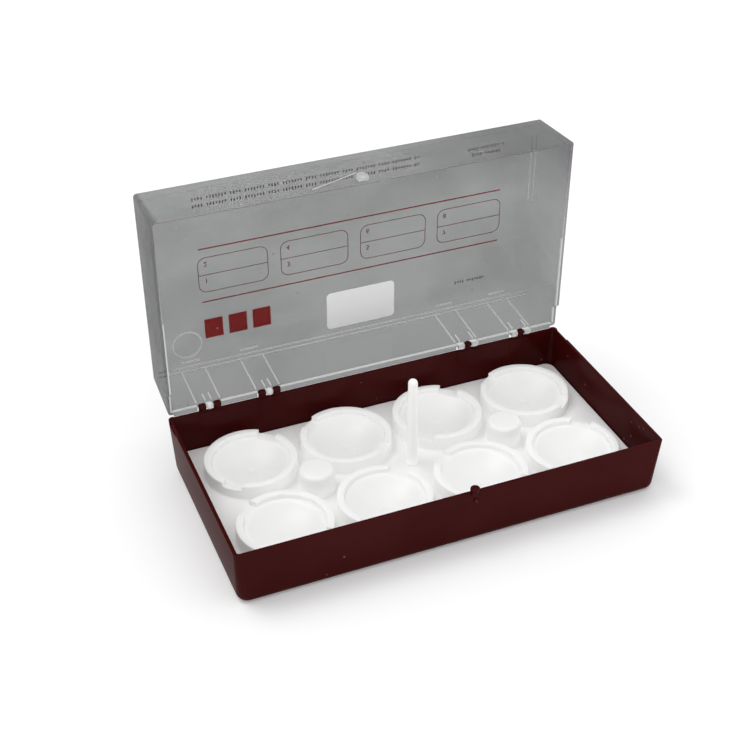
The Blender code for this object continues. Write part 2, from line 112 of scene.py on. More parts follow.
STATIONS = (-72 * MM, -46 * MM, 46 * MM, 72 * MM)
STATIONS_BASE_OUTSIDE = STATIONS[:2]
STATIONS_BASE_INSIDE = STATIONS[2:]
KNUCKLE_RADIUS = 1.6 * MM
KNUCKLE_WIDTH = 3.2 * MM
KNUCKLE_ROUND = 0.9 * MM
KNUCKLE_OFFSET = 3.2 * MM
LUG_WIDTH = 2.6 * MM
PIP_RADIUS = 0.7 * MM
PIP_LENGTH = 9.0 * MM
PIP_HOLE_RADIUS = 0.8 * MM
PIP_HOLE_LENGTH = 9.9 * MM
NECK_THICKNESS = 1.2 * MM
HINGE_SLOT_WIDTH = 10.2 * MM
HINGE_SLOT_TOP = HINGE.z + KNUCKLE_RADIUS + GAP
HINGE_PAD_WIDTH = 10.2 * MM
# Height of the painted highlight strips round the mouth's inner edge.
MOUTH_HIGHLIGHT = 0.85 * MM
HINGE_GUSSET = Vector((0.6 * MM, 0.9 * MM, 4.2 * MM))
HINGE_PAD_PROUD = 0.3 * MM
RIB_WIDTH = 0.55 * MM

KNOB_X = 5.8 * MM
KNOB_RADIUS = 1.9 * MM
KNOB_HEIGHT = 1.7 * MM
KNOB_TOP = BASE_HEIGHT + 2.7 * MM
KNOB_OUT = 0.6 * MM
KNOB_GUSSET_DROP = 4.3 * MM
KNOB_GUSSET_RADIUS = 1.1 * MM
LID_NOTCH_WIDTH = 4.7 * MM
LID_NOTCH_TOP = BASE_HEIGHT + 4.3 * MM
TAB_X = -3.2 * MM
TAB_WIDTH = 4.6 * MM
TAB_HEIGHT = 6.4 * MM
TAB_OUT = 1.9 * MM
TAB_DROP = 1.2 * MM
# Size of the tab's painted highlight ring as a share of the tab.
TAB_RING_SHARE = 0.44
THUMB_DEPTH = 1.0 * MM
THUMB_HEIGHT = 6.7 * MM
BASE_THUMB_X = (8.2 * MM, 27.8 * MM)
LID_THUMB_X = (-5.6 * MM, -25.8 * MM)
# Ends and width of the painted highlight strip along the lid's thumb bevel.
BEVEL_HIGHLIGHT_ENDS = ((LID_THUMB_X[1] + 1.5 * MM, 0.8 * MM),
                   (LID_THUMB_X[0] + 2.2 * MM, THUMB_HEIGHT + 1.5 * MM))
BEVEL_HIGHLIGHT_WIDTH = 0.38 * MM

TRAY_BOTTOM = TRAY_LOW.z
TRAY_TOP = 7.8 * MM
TRAY_SKIN = 1.4 * MM
TRAY_CORNER = 4.0 * MM
CUP_PITCH_X = 41.8 * MM
CUP_PITCH_Y = 43.1 * MM
CUP_RADIUS = 19.26 * MM
LIP_RADIUS = 16.3 * MM
DISH_RADIUS = 14.8 * MM
LIP_Z = 14.0 * MM
LEDGE_Z = 12.0 * MM
DISH_Z = 7.0 * MM
NOTCH_WIDTH = 8.6 * MM
NOTCH_LENGTH = 41.0 * MM
NOTCH_ANGLE = math.radians(49)
PILLAR_RADIUS = 7.2 * MM
PILLAR_FOOT_RADIUS = 7.6 * MM
PILLAR_TOP = TRAY_HIGH.z
EJECTOR_OFFSET = (2.6 * MM, -3.4 * MM)
EJECTOR_RADIUS = 0.9 * MM
STUD_CENTRE = (11 * MM, 6 * MM)
SOCKET_RADIUS = 4.0 * MM
SOCKET_BORE = 2.15 * MM
POST_RADII = (1.95 * MM, 2.25 * MM)
PEG_RADIUS = 1.85 * MM
POST_FOOT_RADIUS = POST_HIGH.x
POST_FOOT_HEIGHT = 0.8 * MM
REACH = 4 * MM

# Print on the lid, closed: x runs along the box, y towards the hinge.  Caption rows: left, right, y.
PRINT_HEIGHT = 0.05 * MM
PRINT_Z = LID_TOP + 0.03 * MM
RULE_X = (-65.1 * MM, 71.1 * MM)
RULE_Y = (-13.9 * MM, 11.3 * MM)
RULE_WIDTH = 0.55 * MM
BOX_SIZE = (30.3 * MM, 16.6 * MM)
BOX_PITCH = 35.8 * MM
BOX_CORNER = 3.6 * MM
LEDGE_REACH = 5.0 * MM
RING_CENTRE = (-73.5 * MM, 29.5 * MM)
RING_RADIUS = 6.5 * MM
BOX_LINE = 0.28 * MM
BOX_LEFT = -66.0 * MM
BOX_FRONT_Y = -9.8 * MM
DIGIT_SIZE = 3.2 * MM
DIGIT_INSET = 2.6 * MM
DIGIT_RISES = (BOX_SIZE[1] / 2 + 1.8 * MM, 2.2 * MM)
SWATCH_X = (-65.0 * MM, -54.4 * MM, -43.8 * MM)
SWATCH_Y = (20.0 * MM, 29.4 * MM)
SWATCH_WIDTH = 8.0 * MM
CAPTION_ROWS = ((-66.0, 32.0, -37.6), (-66.0, 32.0, -34.4), (55.0, 71.5, -36.6),
                (57.0, 70.0, -33.8), (51.0, 67.0, 28.4))
CAPTION_PITCH = 1.25
CAPTION_WORD_GAP = 2.4
CAPTION_HEIGHT = 1.4 * MM
CAPTION_STROKE = 0.5 * MM
FLOW_WIDTH = 0.3 * MM
FLOW_Y = (-38.0 * MM, -6.0 * MM)


# -------------------- mesh helpers

def new_object(name, bm):
    """Object in the scene made from a bmesh with its faces turned outwards."""
    bmesh.ops.recalc_face_normals(bm, faces=bm.faces[:])
    mesh = bpy.data.meshes.new(name)
    bm.to_mesh(mesh)
    bm.free()
    obj = bpy.data.objects.new(name, mesh)
    bpy.context.scene.collection.objects.link(obj)
    return obj


def bake(obj):
    """Swap an object's mesh for the one its modifiers make."""
    evaluated = obj.evaluated_get(bpy.context.evaluated_depsgraph_get())
    mesh = bpy.data.meshes.new_from_object(evaluated)
    obj.modifiers.clear()
    obj.data = mesh


def combine(target, tool, operation):
    """Exact Boolean whose tool is used up."""
    modifier = target.modifiers.new(operation, "BOOLEAN")
    modifier.operation = operation
    modifier.object = tool
    modifier.solver = "EXACT"
    bake(target)
    bpy.data.objects.remove(tool, do_unlink=True)


def cut(target, tool):
    """Remove the tool's volume."""
    combine(target, tool, "DIFFERENCE")


def join(target, tool):
    """Add the tool's volume."""
    combine(target, tool, "UNION")


def soften(obj, width, angle=40, segments=2):
    """Round the edges that are still sharp."""
    bevel = obj.modifiers.new("Soften", "BEVEL")
    bevel.width = width
    bevel.segments = segments
    bevel.limit_method = "ANGLE"
    bevel.angle_limit = math.radians(angle)
    bevel.use_clamp_overlap = True
    bevel.miter_outer = "MITER_SHARP"
    bake(obj)


def shade(obj, angle=32):
    """Smooth shading across gentle edges."""
    obj.data.shade_smooth()
    obj.data.set_sharp_from_angle(angle=math.radians(angle))


def outline(half_x, half_y, radius, z, steps):
    """Points of a rectangle with rounded corners, anticlockwise from the +X side."""
    points = []
    for quarter in range(4):
        centre_x = (half_x - radius) * (1 if quarter in (0, 3) else -1)
        centre_y = (half_y - radius) * (1 if quarter in (0, 1) else -1)
        for step in range(steps + 1):
            angle = math.pi / 2 * (quarter + step / steps)
            points.append((centre_x + radius * math.cos(angle), centre_y + radius * math.sin(angle), z))
    return points


def loft(name, half, profile, steps=10):
    """Closed skin swept round a rounded rectangle; the profile holds (inset, z, corner) from cap to cap."""
    bm = bmesh.new()
    rows = []
    for inset, z, corner in profile:
        ring = outline(half[0] - inset, half[1] - inset, max(corner, 0.3 * MM), z, steps)
        rows.append([bm.verts.new(point) for point in ring])
    count = len(rows[0])
    for here, there in zip(rows, rows[1:]):
        for index in range(count):
            after = (index + 1) % count
            bm.faces.new((here[index], here[after], there[after], there[index]))
    bm.faces.new(reversed(rows[0]))
    bm.faces.new(rows[-1])
    return new_object(name, bm)


def close_rings(bm, rings):
    """Faces between neighbouring rings of points, with the last ring joined back to the first."""
    count = len(rings[0])
    for here, there in zip(rings, rings[1:] + rings[:1]):
        for index in range(count):
            after = (index + 1) % count
            bm.faces.new((here[index], here[after], there[after], there[index]))


def cornered(points, corner, free=0.0):
    """Profile rows whose corners shrink with the inset beyond the free part."""
    return [(inset, z, corner - (inset - free)) for inset, z in points]


def arc(centre, radius, start, end, steps):
    """Points of a profile arc, angles in degrees."""
    angles = [math.radians(start + (end - start) * step / steps) for step in range(steps + 1)]
    return [(centre[0] + radius * math.cos(angle), centre[1] + radius * math.sin(angle))
            for angle in angles]


def fillet(inset, z, radius, start, end, steps):
    """Points of a wall's rounded edge, whose insets count inwards from the outline."""
    return [(inset - x, z + rise) for x, rise in arc((0, 0), radius, start, end, steps)]


def turned(name, profile, steps):
    """Solid of revolution about Z through (radius, height) points that start and end on the axis."""
    bm = bmesh.new()
    top = bm.verts.new((0.0, 0.0, profile[0][1]))
    bottom = bm.verts.new((0.0, 0.0, profile[-1][1]))
    rows = []
    for radius, z in profile[1:-1]:
        angles = [2 * math.pi * step / steps for step in range(steps)]
        rows.append([bm.verts.new((radius * math.cos(a), radius * math.sin(a), z)) for a in angles])
    for index in range(steps):
        after = (index + 1) % steps
        bm.faces.new((top, rows[0][index], rows[0][after]))
        bm.faces.new((bottom, rows[-1][after], rows[-1][index]))
        for here, there in zip(rows, rows[1:]):
            bm.faces.new((here[index], there[index], there[after], here[after]))
    return new_object(name, bm)


def spread(obj, places):
    """One object that repeats the given one at each place."""
    bm = bmesh.new()
    for x, y in places:
        start = len(bm.verts)
        bm.from_mesh(obj.data)
        bm.verts.ensure_lookup_table()
        bmesh.ops.translate(bm, vec=(x, y, 0.0), verts=bm.verts[start:])
    bpy.data.objects.remove(obj, do_unlink=True)
    return new_object("spread", bm)


def add_box(bm, low, high, turn=Matrix.Identity(4)):
    """Box between two corners, turned about its centre."""
    low = Vector(low)
    high = Vector(high)
    size = Matrix.Diagonal((*(high - low), 1.0))
    bmesh.ops.create_cube(bm, size=1.0, matrix=Matrix.Translation((low + high) / 2) @ turn @ size)


def add_hinge_rod(bm, x, width, radius, segments):
    """Cylinder on the hinge axis, centred on x."""
    place = Matrix.Translation((x, HINGE.y, HINGE.z)) @ Matrix.Rotation(math.pi / 2, 4, "Y")
    bmesh.ops.create_cone(bm, cap_ends=True, segments=segments, radius1=radius,
                          radius2=radius, depth=width, matrix=place)


def add_hull(bm, points):
    """Convex solid through the given corners."""
    verts = [bm.verts.new(point) for point in points]
    bmesh.ops.convex_hull(bm, input=verts)


def boxes(spans):
    """One tool object made of separate boxes."""
    bm = bmesh.new()
    for low, high in spans:
        add_box(bm, low, high)
    return new_object("tool", bm)


# -------------------- node helpers

class Nodes:
    """Short way to write a material's node tree."""

    def __init__(self, name):
        self.material = bpy.data.materials.new(name)
        self.material.use_nodes = True
        self.tree = self.material.node_tree
        self.tree.nodes.clear()
        self.output = self.add("ShaderNodeOutputMaterial")
        self.where = self.add("ShaderNodeTexCoord").outputs["Object"]

    def add(self, kind, values=None, **settings):
        """Node with settings as attributes and values for its inputs; a linked value is a socket."""
        node = self.tree.nodes.new(kind)
        for key, value in settings.items():
            setattr(node, key, value)
        for key, value in (values or {}).items():
            if isinstance(value, bpy.types.NodeSocket):
                self.tree.links.new(value, node.inputs[key])
            else:
                node.inputs[key].default_value = value
        return node

    def noise(self, scale, detail=4.0, rough=0.5, stretch=(1, 1, 1)):
        """Noise factor in object space, with features of about 1/scale metres."""
        place = self.add("ShaderNodeMapping", {"Vector": self.where, "Scale": stretch})
        made = self.add("ShaderNodeTexNoise", {"Vector": place.outputs[0], "Scale": scale,
                                               "Detail": detail, "Roughness": rough})
        return made.outputs[0]

    def ramp(self, factor, low, high, start, end):
        """Straight ramp of a factor between two positions."""
        made = self.add("ShaderNodeMapRange", {"Value": factor, "From Min": low, "From Max": high,
                                               "To Min": start, "To Max": end})
        return made.outputs[0]

    def math(self, operation, first, second):
        """One arithmetic step."""
        return self.add("ShaderNodeMath", {0: first, 1: second}, operation=operation).outputs[0]

    def mix(self, factor, first, second):
        """Blend of two colours."""
        made = self.add("ShaderNodeMix", data_type="RGBA")
        for key, value in ((0, factor), (6, first), (7, second)):
            if isinstance(value, bpy.types.NodeSocket):
                self.tree.links.new(value, made.inputs[key])
            else:
                made.inputs[key].default_value = value
        return made.outputs[2]

    def specks(self, scale, size, share):
        """Mask of small scattered specks."""
        cells = self.add("ShaderNodeTexVoronoi", {"Vector": self.where, "Scale": scale})
        near = self.ramp(cells.outputs["Distance"], size, size * 0.6, 0.0, 1.0)
        pick = self.add("ShaderNodeSeparateColor", {0: cells.outputs["Color"]}).outputs[0]
        chosen = self.math("GREATER_THAN", pick, 1.0 - share)
        return self.math("MULTIPLY", near, chosen)

    def bump(self, height, strength, distance):
        """Bumped normal."""
        made = self.add("ShaderNodeBump", {"Height": height, "Strength": strength, "Distance": distance})
        return made.outputs[0]

    def principled(self, **values):
        """Principled shader; underscores stand for blanks in the input names."""
        named = {key.replace("_", " "): value for key, value in values.items()}
        return self.add("ShaderNodeBsdfPrincipled", named).outputs[0]

    def finish(self, shader):
        """Wire the shader to the surface and hand back the material."""
        self.tree.links.new(shader, self.output.inputs["Surface"])
        return self.material


def maroon_plastic(name, straight):
    """Dark red moulded plastic with faint scuffs and settled dust; straight is its mirror share head on."""
    nodes = Nodes(name)
    cloud = nodes.noise(35, 3)
    scuff = nodes.noise(90, 6, 0.7, (1, 1, 2))
    dust = nodes.specks(420, 0.26, 0.015)
    tone = nodes.mix(nodes.ramp(cloud, 0.35, 0.65, 0.0, 1.0),
                     (0.038, 0.0030, 0.0028, 1), (0.046, 0.0044, 0.0042, 1))
    color = nodes.mix(nodes.math("MULTIPLY", dust, 0.5), tone, (0.20, 0.13, 0.12, 1))
    rough = nodes.ramp(scuff, 0.3, 0.75, 0.09, 0.16)
    normal = nodes.bump(nodes.noise(45, 2), 0.03, 0.0006)
    body = nodes.principled(Base_Color=color, Roughness=0.5, Specular_IOR_Level=0.0)
    gloss = nodes.add("ShaderNodeBsdfGlossy", {"Color": (1, 0.97, 0.97, 1), "Roughness": rough,
                                               "Normal": normal}).outputs[0]
    share = gloss_share(nodes, straight, 0.20)
    return nodes.finish(nodes.add("ShaderNodeMixShader", {0: share, 1: body, 2: gloss}).outputs[0])


def white_plastic():
    """White moulded insert: soft sheen, faint flow marks, a little light passing through and a faint painted
    glow that lifts its shade.
    """
    nodes = Nodes("white_plastic")
    cloud = nodes.noise(22, 3)
    color = nodes.mix(nodes.ramp(cloud, 0.3, 0.7, 0.0, 1.0), (0.88, 0.88, 0.87, 1), (0.93, 0.93, 0.925, 1))
    rough = nodes.ramp(nodes.noise(160, 5), 0.3, 0.7, 0.30, 0.44)
    normal = nodes.bump(nodes.noise(700, 4), 0.10, 0.0002)
    # The emission is painted light: a faint glow that lifts the insert's shaded parts.
    shader = nodes.principled(Base_Color=color, Roughness=rough, Normal=normal, IOR=1.5,
                              Subsurface_Weight=0.35, Subsurface_Radius=(0.006, 0.006, 0.006),
                              Subsurface_Scale=0.6, Emission_Color=(1, 1, 0.99, 1), Emission_Strength=0.08)
    return nodes.finish(shader)


def post_plastic():
    """Slightly warmer white rod with fine drawing lines along it and a faint painted glow that lifts its
    shade.
    """
    nodes = Nodes("post_plastic")
    lines = nodes.noise(600, 4, 0.6, (1, 1, 0.05))
    color = nodes.mix(lines, (0.86, 0.86, 0.845, 1), (0.92, 0.92, 0.91, 1))
    normal = nodes.bump(lines, 0.15, 0.0001)
    rough = nodes.ramp(lines, 0.3, 0.7, 0.26, 0.4)
    # The emission is painted light: a faint glow that lifts the rod's shaded side.
    shader = nodes.principled(Base_Color=color, Roughness=rough, Normal=normal,
                              Emission_Color=(1, 1, 0.99, 1), Emission_Strength=0.11)
    return nodes.finish(shader)


def label_paper():
    """Uncoated paper sticker with faint fibres."""
    nodes = Nodes("label_paper")
    fibres = nodes.noise(2200, 5, 0.65, (1, 0.35, 1))
    color = nodes.mix(fibres, (0.93, 0.93, 0.93, 1), (0.98, 0.98, 0.98, 1))
    shader = nodes.principled(Base_Color=color, Roughness=0.6, Normal=nodes.bump(fibres, 0.3, 0.0001))
    return nodes.finish(shader)


def print_ink(name, color):
    """Screen-printed ink with slightly uneven cover."""
    nodes = Nodes(name)
    cover = nodes.noise(1500, 4, 0.6)
    deep = tuple(channel * 0.8 for channel in color) + (1,)
    tone = nodes.mix(nodes.ramp(cover, 0.3, 0.7, 0.0, 1.0), deep, color + (1,))
    normal = nodes.bump(cover, 0.1, 0.0001)
    return nodes.finish(nodes.principled(Base_Color=tone, Roughness=0.45, Normal=normal))


def gloss_share(nodes, straight, grazing):
    """Mirror share of a face seen from outside, rising towards grazing sight lines."""
    facing = nodes.add("ShaderNodeLayerWeight", {"Blend": 0.5}).outputs["Facing"]
    rise = nodes.math("MULTIPLY", nodes.math("POWER", facing, 5.0), grazing - straight)
    outside = nodes.math("SUBTRACT", 1.0, nodes.add("ShaderNodeNewGeometry").outputs["Backfacing"])
    return nodes.math("MULTIPLY", nodes.math("ADD", rise, straight), outside)


def clear_plastic(name, tint, highlight_share, dust_and_highlight_colors):
    """See-through tinted plastic: the first face that a sight line meets carries the tint, deeper in the left
    end wall and in the front right corner.  A share of flat pale colour, from the first colour at the catch
    side to the second at the hinge, is painted highlight on bright edges; dust specks share the same pale
    shader."""
    nodes = Nodes(name)
    path = nodes.add("ShaderNodeLightPath")
    first = nodes.math("LESS_THAN", path.outputs["Transparent Depth"], 0.5)
    place = nodes.add("ShaderNodeSeparateXYZ", {0: nodes.where})
    across, along = place.outputs["X"], place.outputs["Y"]
    cloud = nodes.ramp(nodes.noise(16, 4, 0.55, (1, 1.6, 1)), 0.34, 0.66, 0.84, 1.10)
    corner = nodes.math("MULTIPLY", nodes.ramp(across, -0.01, 0.07, 0.0, 0.42),
                        nodes.ramp(along, -0.012, -0.040, 0.0, 1.0))
    end_wall = nodes.ramp(across, *END_WALL_X, 0.62, 1.0)
    depth = nodes.math("MULTIPLY", nodes.math("MULTIPLY", cloud, end_wall),
                       nodes.math("SUBTRACT", 1.0, corner))
    low = nodes.mix(depth, (0, 0, 0, 1), tint + (1,))
    seen = nodes.mix(first, (0.985, 0.985, 0.985, 1), low)
    through = nodes.mix(path.outputs["Is Shadow Ray"], seen, (0.95, 0.95, 0.95, 1))
    clear = nodes.add("ShaderNodeBsdfTransparent", {"Color": through}).outputs[0]
    scratch = nodes.noise(120, 6, 0.7, (1, 7, 1))
    normal = nodes.bump(nodes.noise(60, 2), 0.06, 0.0006)
    rough = nodes.ramp(scratch, 0.35, 0.75, 0.04, 0.18)
    gloss = nodes.add("ShaderNodeBsdfGlossy", {"Color": (1, 1, 1, 1), "Roughness": rough,
                                               "Normal": normal}).outputs[0]
    glare = nodes.math("MULTIPLY", gloss_share(nodes, 0.014, 0.35),
                       nodes.ramp(across, *END_WALL_X, 0.35, 1.0))
    body = nodes.add("ShaderNodeMixShader", {0: glare, 1: clear, 2: gloss}).outputs[0]
    dust = nodes.specks(300, 0.20, 0.02)
    # Share of the pale shader: dust specks, or the painted highlight share where that is larger.
    share = nodes.math("MAXIMUM", nodes.math("MULTIPLY", dust, 0.3), highlight_share)
    dust_and_highlight_color = nodes.mix(nodes.ramp(along, -0.040, 0.030, 0.0, 1.0),
                           dust_and_highlight_colors[0] + (1,), dust_and_highlight_colors[1] + (1,))
    # Pale shader for the dust specks and the painted highlights.
    dust_and_highlight = nodes.principled(Base_Color=dust_and_highlight_color, Roughness=0.3, IOR=1.3)
    return nodes.finish(nodes.add("ShaderNodeMixShader", {0: share, 1: body, 2: dust_and_highlight}).outputs[0])


def floor_material():
    """Pale matt floor."""
    nodes = Nodes("floor")
    tone = nodes.mix(nodes.noise(3, 3), (0.92, 0.92, 0.92, 1), (0.94, 0.94, 0.94, 1))
    return nodes.finish(nodes.principled(Base_Color=tone, Roughness=0.9, Specular_IOR_Level=0.0,
                                         Emission_Color=(1, 1, 1, 1), Emission_Strength=0.06))


# -------------------- shapes shared by base and lid

def thumb_wedge(x_range, z_rim, z_tip):
    """Wedge that bevels a front rim: deepest at its catch end, fading along the rim and away from it."""
    bm = bmesh.new()
    run = x_range[1] - x_range[0]
    rise = z_tip - z_rim
    points = []
    for x in (x_range[0], x_range[1] + run * 0.2):
        for z in (z_tip + rise * 0.3, z_rim - rise * 0.3):
            share = 1 - (z - z_rim) / rise - (x - x_range[0]) / run
            points.append((x, -DEPTH / 2 + THUMB_DEPTH * share, z))
            points.append((x, -DEPTH / 2 - REACH, z))
    add_hull(bm, points)
    return new_object("tool", bm)


def hinge_necks(places, width, z_far):
    """Webs between knuckles and the wall that carries them."""
    low, high = sorted((HINGE.z, z_far))
    half = NECK_THICKNESS / 2
    return boxes([((x - width / 2, HINGE.y - half, low), (x + width / 2, HINGE.y + half, high))
                  for x in places])


def hinge_rods(places, width, radius, segments):
    """Rods on the hinge axis."""
    bm = bmesh.new()
    for x in places:
        add_hinge_rod(bm, x, width, radius, segments)
    return new_object("tool", bm)


def add_outer_knuckles(shell, stations, z_far):
    """Two drilled knuckles at each station."""
    places = [station + side * KNUCKLE_OFFSET for station in stations for side in (-1, 1)]
    join(shell, hinge_necks(places, KNUCKLE_WIDTH - 0.1 * MM, z_far))
    rods = hinge_rods(places, KNUCKLE_WIDTH, KNUCKLE_RADIUS, 40)
    soften(rods, KNUCKLE_ROUND, segments=4)
    join(shell, rods)
    cut(shell, hinge_rods(stations, PIP_HOLE_LENGTH, PIP_HOLE_RADIUS, 24))


def add_middle_lugs(shell, stations, z_far):
    """One lug at each station with a pip standing out on both sides."""
    join(shell, hinge_necks(stations, LUG_WIDTH - 0.1 * MM, z_far))
    rods = hinge_rods(stations, LUG_WIDTH, KNUCKLE_RADIUS, 40)
    soften(rods, KNUCKLE_ROUND, segments=4)
    join(shell, rods)
    join(shell, hinge_rods(stations, PIP_LENGTH, PIP_RADIUS, 24))


# -------------------- base

def base_profile():
    """Outside of the base from its underside up, over the rim and down to the inner floor."""
    slope = DRAFT / BASE_HEIGHT
    foot = fillet(DRAFT + FOOT_RADIUS, FOOT_RADIUS, FOOT_RADIUS, -90, 0, 6)
    rim = fillet(RIM_ROUND, BASE_HEIGHT - RIM_ROUND, RIM_ROUND, 0, 90, 4)
    inside = fillet(WALL - RIM_ROUND, BASE_HEIGHT - RIM_ROUND, RIM_ROUND, 90, 180, 4)
    return (cornered(foot, FOOT_CORNER, DRAFT) + cornered(rim, CORNER_RADIUS)
            + cornered(inside, CORNER_RADIUS - WALL + 0.5 * MM, WALL)
            + [(WALL + slope * (BASE_HEIGHT - FLOOR), FLOOR, FLOOR_CORNER)])


def base_knob():
    """Catch knob: a neck, a round flat head and a small gusset at its foot."""
    front = -DEPTH / 2
    neck = bmesh.new()
    points = []
    for z, half_width, out, back in ((BASE_HEIGHT - 3.2 * MM, 0.6 * MM, -0.3 * MM, 0.9 * MM),
                                     (BASE_HEIGHT - 1.0 * MM, 1.2 * MM, 0.7 * MM, 1.1 * MM),
                                     (BASE_HEIGHT + 1.5 * MM, 1.4 * MM, 0.7 * MM, 0.9 * MM)):
        for side in (-1, 1):
            points.append((KNOB_X + side * half_width, front - out, z))
            points.append((KNOB_X + side * half_width, front + back, z))
    add_hull(neck, points)
    head = upright([(KNOB_X, front - KNOB_OUT)], KNOB_RADIUS * 0.92, KNOB_RADIUS,
                   KNOB_TOP - KNOB_HEIGHT, KNOB_TOP, 36)
    soften(head, 0.3 * MM)
    gusset = bmesh.new()
    place = Matrix.Translation((KNOB_X + 0.9 * MM, front, BASE_HEIGHT - KNOB_GUSSET_DROP))
    bmesh.ops.create_icosphere(gusset, subdivisions=1, radius=KNOB_GUSSET_RADIUS, matrix=place)
    return new_object("tool", neck), head, new_object("tool", gusset)


def base_rebate():
    """Step outside the back rim and the back ends of the side rims."""
    z_low = BASE_HEIGHT - REBATE_HEIGHT
    z_high = BASE_HEIGHT + REACH
    x_in = LENGTH / 2 - REBATE_DEPTH
    y_in = DEPTH / 2 - REBATE_DEPTH
    spans = []
    for side in (-1, 1):
        edges = sorted((side * x_in, side * (LENGTH / 2 + REACH)))
        spans.append(((edges[0], REBATE_FRONT_Y, z_low), (edges[1], y_in - CORNER_RADIUS, z_high)))
    spans.append(((-x_in + CORNER_RADIUS, y_in, z_low), (x_in - CORNER_RADIUS, DEPTH / 2 + REACH, z_high)))
    return boxes(spans)


def build_base():
    """Dark red base with its catch knob, thumb bevel, hinge knuckles and hinge pads; the bevel and the gusset
    carry a glossier copy of the plastic, a painted highlight for the light their tilted faces catch."""
    base = loft("base", (LENGTH / 2, DEPTH / 2), base_profile())
    cut(base, base_rebate())
    cut(base, thumb_wedge(BASE_THUMB_X, BASE_HEIGHT, BASE_HEIGHT - THUMB_HEIGHT))
    for piece in base_knob():
        join(base, piece)
    inner_y = DEPTH / 2 - WALL
    pads = [((x - HINGE_PAD_WIDTH / 2, inner_y - HINGE_PAD_PROUD, TRAY_TOP + 3 * MM),
             (x + HINGE_PAD_WIDTH / 2, inner_y + 1 * MM, BASE_HEIGHT - 0.6 * MM)) for x in STATIONS]
    join(base, boxes(pads))
    neck_end = BASE_HEIGHT - REBATE_HEIGHT - 1 * MM
    add_outer_knuckles(base, STATIONS_BASE_OUTSIDE, neck_end)
    add_middle_lugs(base, STATIONS_BASE_INSIDE, neck_end)
    shade(base)
    base.data.materials.clear()
    base.data.materials.append(maroon_plastic("maroon_plastic", 0.006))
    # Glossier copy of the maroon plastic: painted highlight on the thumb bevel's tilted face and on the
    # knob's gusset.
    base.data.materials.append(maroon_plastic("maroon_bevel_highlight", 0.022))
    # Faces of the tilted thumb bevel and of the gusset take the painted highlight copy.
    for face in base.data.polygons:
        centre = face.center
        on_front = centre.y < -DEPTH / 2 + THUMB_DEPTH + 0.2 * MM
        tilted = face.normal.x > 0.02 and face.normal.y < -0.9
        gusset = centre.y < -DEPTH / 2 - 0.05 * MM and centre.z < BASE_HEIGHT - KNOB_GUSSET_DROP + 1 * MM
        if on_front and abs(centre.x) < LENGTH / 4 and (tilted or gusset):
            face.material_index = 1
    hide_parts("base_box")
    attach(base, "base")


# -------------------- insert tray and post

def cup_places():
    """Centre and notch angle of each cup: the notches lean left and right in turn."""
    places = []
    for row in (-0.5, 0.5):
        for column in (-1.5, -0.5, 0.5, 1.5):
            leans_left = (column in (-1.5, 0.5)) != (row > 0)
            angle = math.pi - NOTCH_ANGLE if leans_left else NOTCH_ANGLE
            places.append((column * CUP_PITCH_X, row * CUP_PITCH_Y, angle))
    return places


def cup_profile():
    """Dish with a centre dimple, ledge, rounded lip, flared wall and hollow underside."""
    depth = LEDGE_Z - DISH_Z
    sphere = (DISH_RADIUS ** 2 + depth ** 2) / (2 * depth)
    centre = (0.0, DISH_Z + sphere)
    rim_angle = math.degrees(math.asin(DISH_RADIUS / sphere))
    dimple = 1.1 * MM
    start = math.degrees(math.asin(dimple * 1.5 / sphere))
    lip = 0.5 * MM
    flare = 0.8 * MM
    inner = CUP_RADIUS - TRAY_SKIN
    points = [(0.0, DISH_Z - 0.55 * MM), (dimple * 0.7, DISH_Z - 0.4 * MM)]
    points += arc(centre, sphere, -90 + start, -90 + rim_angle * 0.985, 12)
    points += [(DISH_RADIUS + 0.3 * MM, LEDGE_Z)]
    points += arc((LIP_RADIUS - 0.3 * MM, LEDGE_Z + 0.3 * MM), 0.3 * MM, -90, 0, 3)
    points += arc((LIP_RADIUS + lip, LIP_Z - lip), lip, 180, 90, 4)
    points += arc((CUP_RADIUS - lip, LIP_Z - lip), lip, 90, 0, 4)
    points += arc((CUP_RADIUS + flare, TRAY_TOP + flare), flare, 180, 262, 5)
    points += [(CUP_RADIUS + flare, TRAY_TOP - 0.5 * MM), (CUP_RADIUS, TRAY_TOP - TRAY_SKIN)]
    points += [(inner, TRAY_TOP - TRAY_SKIN), (inner, LEDGE_Z - TRAY_SKIN)]
    points += arc(centre, sphere + TRAY_SKIN, -90 + rim_angle * 0.9, -90 + 2, 6)
    points += [(0.0, DISH_Z - TRAY_SKIN)]
    return points


def tray_profile():
    """Underside of the deck, down the inside of the skirt and up the outside to the deck."""
    edge = 0.5 * MM
    points = [(TRAY_SKIN, TRAY_TOP - TRAY_SKIN), (TRAY_SKIN, TRAY_BOTTOM), (0.0, TRAY_BOTTOM)]
    return points + fillet(edge, TRAY_TOP - edge, edge, 0, 90, 4)


def pillar_profile():
    """Short pillar with a soft top edge and a small flare at its foot."""
    top = 1.7 * MM
    flare = 1.0 * MM
    points = [(0.0, PILLAR_TOP)]
    points += arc((PILLAR_RADIUS - top, PILLAR_TOP - top), top, 90, 0, 6)
    points += arc((PILLAR_FOOT_RADIUS + flare, TRAY_TOP + flare), flare, 180, 260, 4)
    points += [(PILLAR_FOOT_RADIUS + flare, TRAY_TOP - TRAY_SKIN / 2), (0.0, TRAY_TOP - TRAY_SKIN / 2)]
    return points


def upright(centres, radius_low, radius_high, z_low, z_high, segments):
    """Upright cylinders or cones as one tool."""
    bm = bmesh.new()
    for x, y in centres:
        place = Matrix.Translation((x, y, (z_low + z_high) / 2))
        bmesh.ops.create_cone(bm, cap_ends=True, segments=segments, radius1=radius_low,
                              radius2=radius_high, depth=z_high - z_low, matrix=place)
    return new_object("tool", bm)


